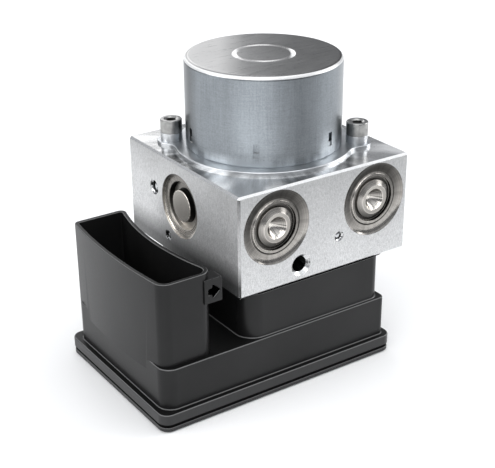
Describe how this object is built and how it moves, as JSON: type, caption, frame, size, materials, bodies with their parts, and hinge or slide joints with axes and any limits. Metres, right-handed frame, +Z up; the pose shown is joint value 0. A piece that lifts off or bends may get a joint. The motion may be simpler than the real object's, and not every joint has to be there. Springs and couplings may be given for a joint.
{
  "type": "abs brake module",
  "caption": "Brake pressure control module: round pump motor on an aluminium valve block, over a black control unit with an upright plug socket.",
  "frame": {"origin": "on the motor's axis, at the underside of the control unit's cover", "axes": "+Z up along the motor's axis, -Y out of the face with the two big caps, -X out of the plug socket's side"},
  "size_m": [0.1246, 0.0897, 0.1302],
  "materials": {
    "block_aluminium": "machined",
    "turned_aluminium": "turned",
    "plated_caps": "nickel plated",
    "zinc_can": "zinc plated",
    "zinc_plate": "zinc plated",
    "screw_steel": "zinc plated",
    "hard_steel": "ground",
    "core_steel": "stacked sheets",
    "spring_steel": "drawn wire",
    "seal_rubber": "moulded",
    "coil_copper": "enamelled copper",
    "bush_bronze": "sintered bronze",
    "terminal_metal": "tin plated",
    "ferrite": "sintered",
    "brush_carbon": "pressed carbon",
    "cage_polymer": "moulded",
    "holder_polymer": "moulded",
    "black_polymer": "satin moulded",
    "cover_polymer": "satin moulded",
    "board_laminate": "solder mask"
  },
  "bodies": {
    "module": {"hydraulic_block": "block_aluminium", "accumulator_cap_left": "plated_caps", "accumulator_cap_right": "plated_caps", "accumulator_spring_left": "spring_steel", "accumulator_spring_right": "spring_steel", "pump_plug_left": "plated_caps", "pump_plug_right": "plated_caps", "pump_sleeve_left": "hard_steel", "pump_sleeve_right": "hard_steel", "pump_spring_left": "spring_steel", "pump_spring_right": "spring_steel", "ball_plugs": "hard_steel", "inlet_valves": "hard_steel", "outlet_valves": "hard_steel", "coil_pack": "coil_copper", "motor_can": "zinc_can", "motor_plate": "zinc_plate", "motor_screws": "screw_steel", "motor_seal": "seal_rubber", "bearing_outer_ring": "hard_steel", "top_bearing": "bush_bronze", "magnets": "ferrite", "brush_holder": "holder_polymer", "brush_spring_left": "spring_steel", "brush_spring_right": "spring_steel", "motor_lead": "holder_polymer", "motor_pins": "terminal_metal", "ecu_housing": "black_polymer", "housing_gasket": "seal_rubber", "housing_screws": "screw_steel", "ecu_cover": "cover_polymer", "cover_seal": "seal_rubber", "circuit_board": "board_laminate", "board_parts": "cage_polymer", "pin_header": "black_polymer", "connector_pins": "terminal_metal"},
    "rotor": {"motor_shaft": "hard_steel", "armature_core": "core_steel", "armature_winding": "coil_copper", "commutator": "coil_copper", "bearing_inner_ring": "hard_steel"},
    "follower_ring": {"eccentric_ring": "hard_steel"},
    "ball_set": {"bearing_cage": "cage_polymer", "bearing_balls": "hard_steel"},
    "accumulator_slider_left": {"accumulator_piston_left": "turned_aluminium", "accumulator_seal_left": "seal_rubber"},
    "accumulator_slider_right": {"accumulator_piston_right": "turned_aluminium", "accumulator_seal_right": "seal_rubber"},
    "pump_slider_left": {"pump_piston_left": "hard_steel"},
    "pump_slider_right": {"pump_piston_right": "hard_steel"},
    "brush_slider_left": {"brush_left": "brush_carbon"},
    "brush_slider_right": {"brush_right": "brush_carbon"},
    "inlet_armature_1": {"inlet_plunger_1": "hard_steel"},
    "inlet_armature_2": {"inlet_plunger_2": "hard_steel"},
    "inlet_armature_3": {"inlet_plunger_3": "hard_steel"},
    "inlet_armature_4": {"inlet_plunger_4": "hard_steel"},
    "outlet_armature_1": {"outlet_plunger_1": "hard_steel"},
    "outlet_armature_2": {"outlet_plunger_2": "hard_steel"},
    "outlet_armature_3": {"outlet_plunger_3": "hard_steel"},
    "outlet_armature_4": {"outlet_plunger_4": "hard_steel"}
  },
  "joints": [
    {"name": "motor_spin", "type": "hinge", "parent": "module", "child": "rotor", "pos_m": [0, 0, 0.11], "axis": [0, 0, 1], "continuous": true},
    {"name": "ring_turn", "type": "hinge", "parent": "rotor", "child": "follower_ring", "pos_m": [0, 0.0012, 0.0717], "axis": [0, 0, 1], "continuous": true},
    {"name": "ball_roll", "type": "hinge", "parent": "module", "child": "ball_set", "pos_m": [0, 0, 0.0868], "axis": [0, 0, 1], "continuous": true},
    {"name": "accumulator_left_slide", "type": "slide", "parent": "module", "child": "accumulator_slider_left", "axis": [0, -1, 0], "range_m": [0, 0.008], "stiffness_N_per_m": 1500, "springref_m": -0.004, "deforming": ["accumulator_spring_left"]},
    {"name": "accumulator_right_slide", "type": "slide", "parent": "module", "child": "accumulator_slider_right", "axis": [0, -1, 0], "range_m": [0, 0.008], "stiffness_N_per_m": 1500, "springref_m": -0.004, "deforming": ["accumulator_spring_right"]},
    {"name": "pump_left_slide", "type": "slide", "parent": "module", "child": "pump_slider_left", "axis": [1, 0, 0], "range_m": [0, 0.0012], "deforming": ["pump_spring_left"]},
    {"name": "pump_right_slide", "type": "slide", "parent": "module", "child": "pump_slider_right", "axis": [-1, 0, 0], "range_m": [0, 0.0012], "deforming": ["pump_spring_right"]},
    {"name": "brush_left_slide", "type": "slide", "parent": "module", "child": "brush_slider_left", "axis": [-1, 0, 0], "range_m": [0, 0.003], "stiffness_N_per_m": 200, "springref_m": -0.002, "deforming": ["brush_spring_left"]},
    {"name": "brush_right_slide", "type": "slide", "parent": "module", "child": "brush_slider_right", "axis": [1, 0, 0], "range_m": [0, 0.003], "stiffness_N_per_m": 200, "springref_m": -0.002, "deforming": ["brush_spring_right"]},
    {"name": "inlet_valve_1_stroke", "type": "slide", "parent": "module", "child": "inlet_armature_1", "axis": [0, 0, 1], "range_m": [0, 0.0003], "stiffness_N_per_m": 1000, "springref_m": -0.0005},
    {"name": "inlet_valve_2_stroke", "type": "slide", "parent": "module", "child": "inlet_armature_2", "axis": [0, 0, 1], "range_m": [0, 0.0003], "stiffness_N_per_m": 1000, "springref_m": -0.0005},
    {"name": "inlet_valve_3_stroke", "type": "slide", "parent": "module", "child": "inlet_armature_3", "axis": [0, 0, 1], "range_m": [0, 0.0003], "stiffness_N_per_m": 1000, "springref_m": -0.0005},
    {"name": "inlet_valve_4_stroke", "type": "slide", "parent": "module", "child": "inlet_armature_4", "axis": [0, 0, 1], "range_m": [0, 0.0003], "stiffness_N_per_m": 1000, "springref_m": -0.0005},
    {"name": "outlet_valve_1_stroke", "type": "slide", "parent": "module", "child": "outlet_armature_1", "axis": [0, 0, -1], "range_m": [0, 0.0003], "stiffness_N_per_m": 1000, "springref_m": -0.0005},
    {"name": "outlet_valve_2_stroke", "type": "slide", "parent": "module", "child": "outlet_armature_2", "axis": [0, 0, -1], "range_m": [0, 0.0003], "stiffness_N_per_m": 1000, "springref_m": -0.0005},
    {"name": "outlet_valve_3_stroke", "type": "slide", "parent": "module", "child": "outlet_armature_3", "axis": [0, 0, -1], "range_m": [0, 0.0003], "stiffness_N_per_m": 1000, "springref_m": -0.0005},
    {"name": "outlet_valve_4_stroke", "type": "slide", "parent": "module", "child": "outlet_armature_4", "axis": [0, 0, -1], "range_m": [0, 0.0003], "stiffness_N_per_m": 1000, "springref_m": -0.0005}
  ],
  "couplings": [
    {"joint": "ring_turn", "follows": "motor_spin", "ratio": -1},
    {"joint": "ball_roll", "follows": "motor_spin", "ratio": 0.3889}
  ]
}
